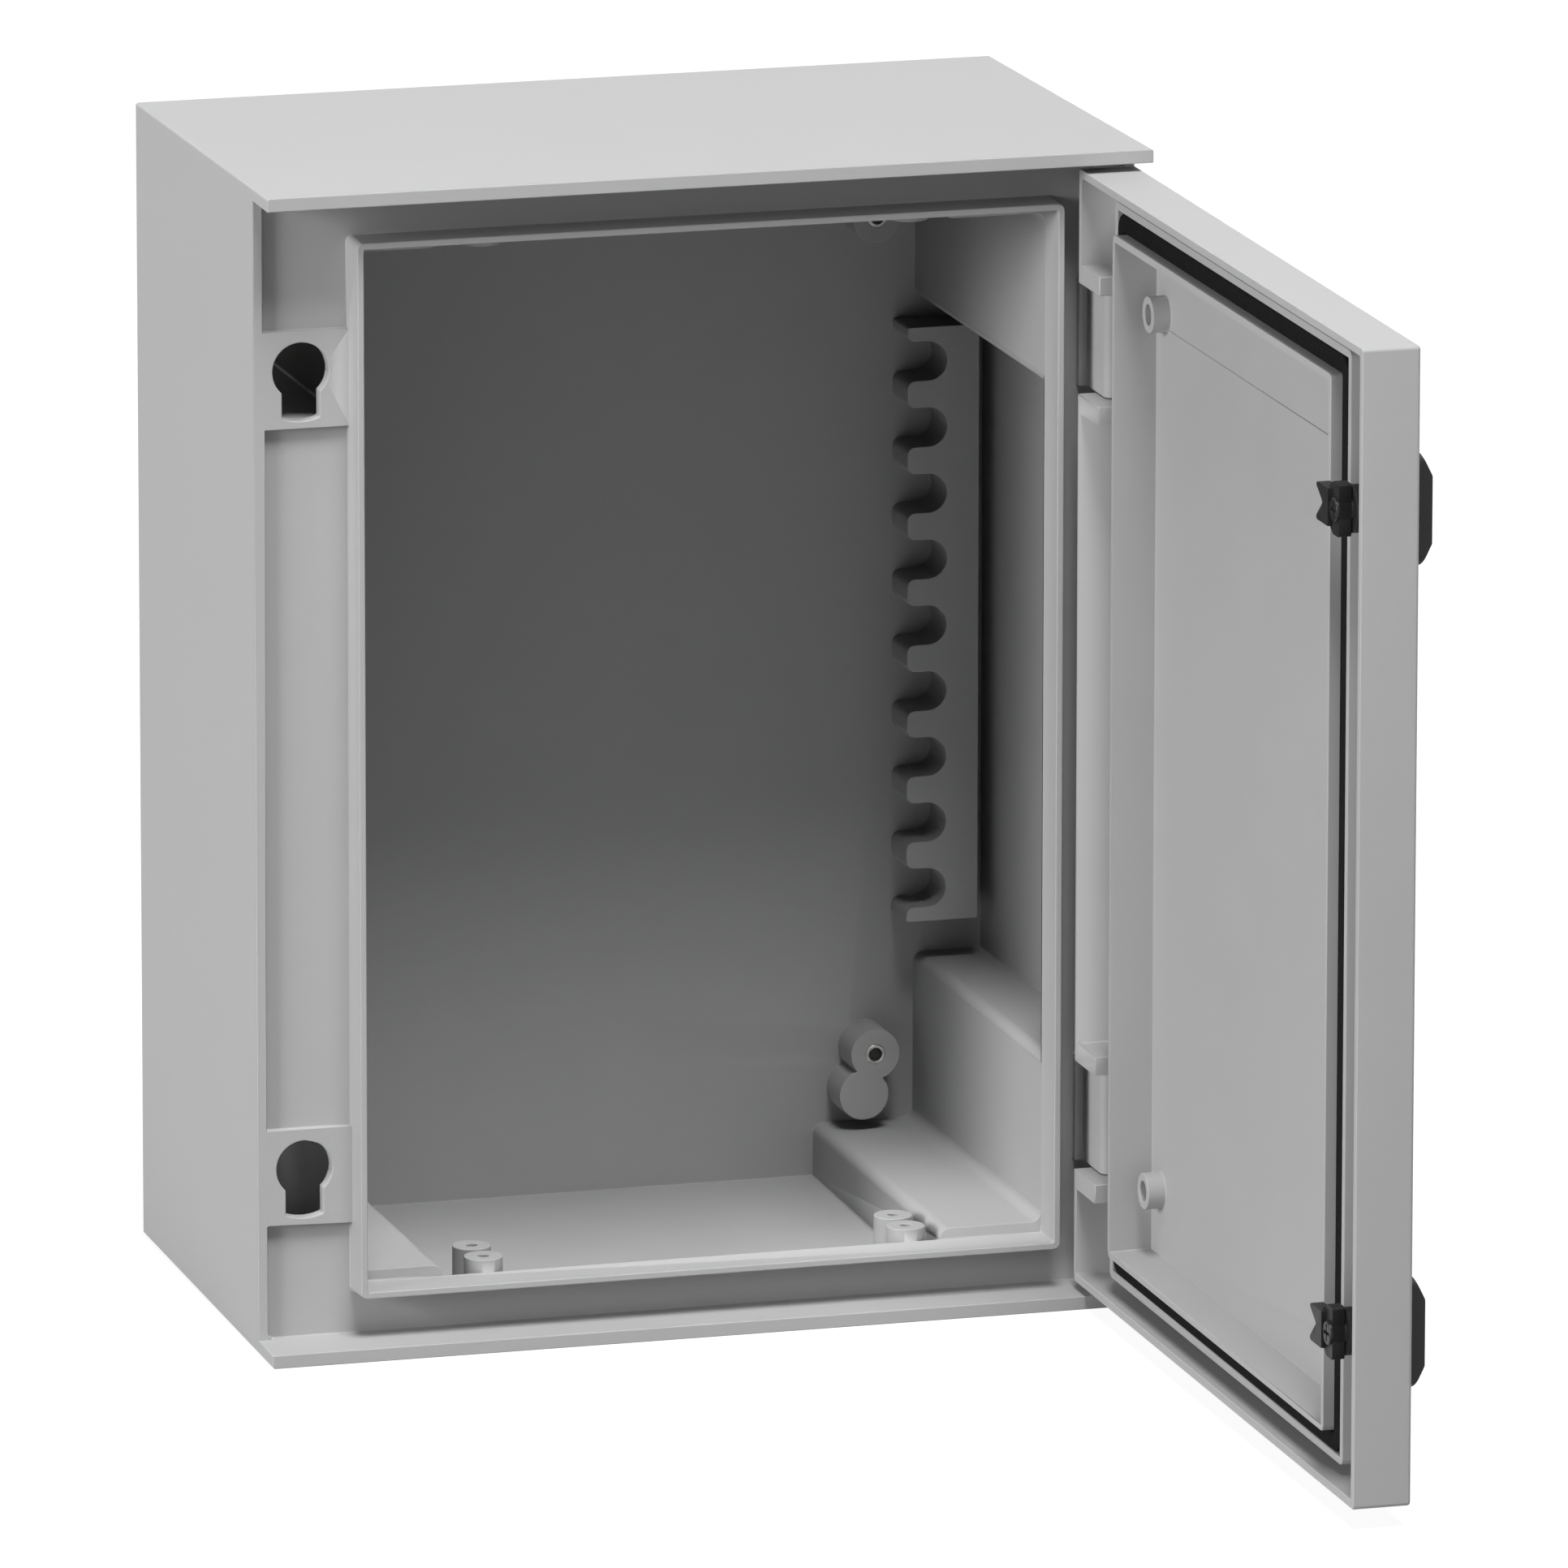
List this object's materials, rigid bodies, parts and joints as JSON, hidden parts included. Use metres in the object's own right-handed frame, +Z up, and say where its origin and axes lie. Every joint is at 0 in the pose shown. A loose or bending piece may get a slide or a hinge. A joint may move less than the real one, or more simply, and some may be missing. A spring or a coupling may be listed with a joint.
{
  "type": "moulded polyester wall enclosure with hinged door",
  "caption": "Moulded grey polyester wall enclosure with rain hoods, a gasketed hinged door shown open, push-and-turn locks and slotted racks inside.",
  "frame": {"origin": "centre of the flat rear face, which lies on the wall", "axes": "+X to the right, +Y into the wall, +Z up; the mouth and the hoods face -Y"},
  "size_m": [0.3341, 0.5134, 0.43],
  "materials": {
    "moulded_grey": "satin moulded glass-fibre polyester",
    "gasket_black": "matt foam",
    "lock_black": "satin",
    "screw_black": "black oxide",
    "pin_steel": "drawn",
    "insert_metal": "nickel plated"
  },
  "bodies": {
    "enclosure": {"enclosure_shell": "moulded_grey", "left_rack": "moulded_grey", "right_rack": "moulded_grey", "plate_inserts": "insert_metal", "wall_inserts": "insert_metal"},
    "door": {"door_shell": "moulded_grey", "door_gasket": "gasket_black", "upper_hinge_pin": "pin_steel", "upper_lock_housing": "lock_black", "upper_lock_seal": "gasket_black", "upper_lock_nut": "lock_black", "lower_hinge_pin": "pin_steel", "lower_lock_housing": "lock_black", "lower_lock_seal": "gasket_black", "lower_lock_nut": "lock_black"},
    "upper_push": {"upper_spindle_ring": "gasket_black"},
    "upper_lock": {"upper_lock_spindle": "lock_black", "upper_lock_tongue": "lock_black", "upper_tongue_screw": "screw_black"},
    "lower_push": {"lower_spindle_ring": "gasket_black"},
    "lower_lock": {"lower_lock_spindle": "lock_black", "lower_lock_tongue": "lock_black", "lower_tongue_screw": "screw_black"}
  },
  "joints": [
    {"name": "door_hinge", "type": "hinge", "parent": "enclosure", "child": "door", "pos_m": [0.1551, -0.19325, 0], "axis": [0, 0, 1], "range_deg": [-90, 30]},
    {"name": "upper_lock_push", "type": "slide", "parent": "door", "child": "upper_push", "axis": [-1, 0, 0], "range_m": [0, 0.0117], "stiffness_N_per_m": 900, "springref_m": -0.004},
    {"name": "upper_lock_turn", "type": "hinge", "parent": "upper_push", "child": "upper_lock", "pos_m": [0.139, -0.49545, 0.147], "axis": [-1, 0, 0], "range_deg": [0, 90]},
    {"name": "lower_lock_push", "type": "slide", "parent": "door", "child": "lower_push", "axis": [-1, 0, 0], "range_m": [0, 0.0117], "stiffness_N_per_m": 900, "springref_m": -0.004},
    {"name": "lower_lock_turn", "type": "hinge", "parent": "lower_push", "child": "lower_lock", "pos_m": [0.139, -0.49545, -0.147], "axis": [-1, 0, 0], "range_deg": [0, 90]}
  ]
}
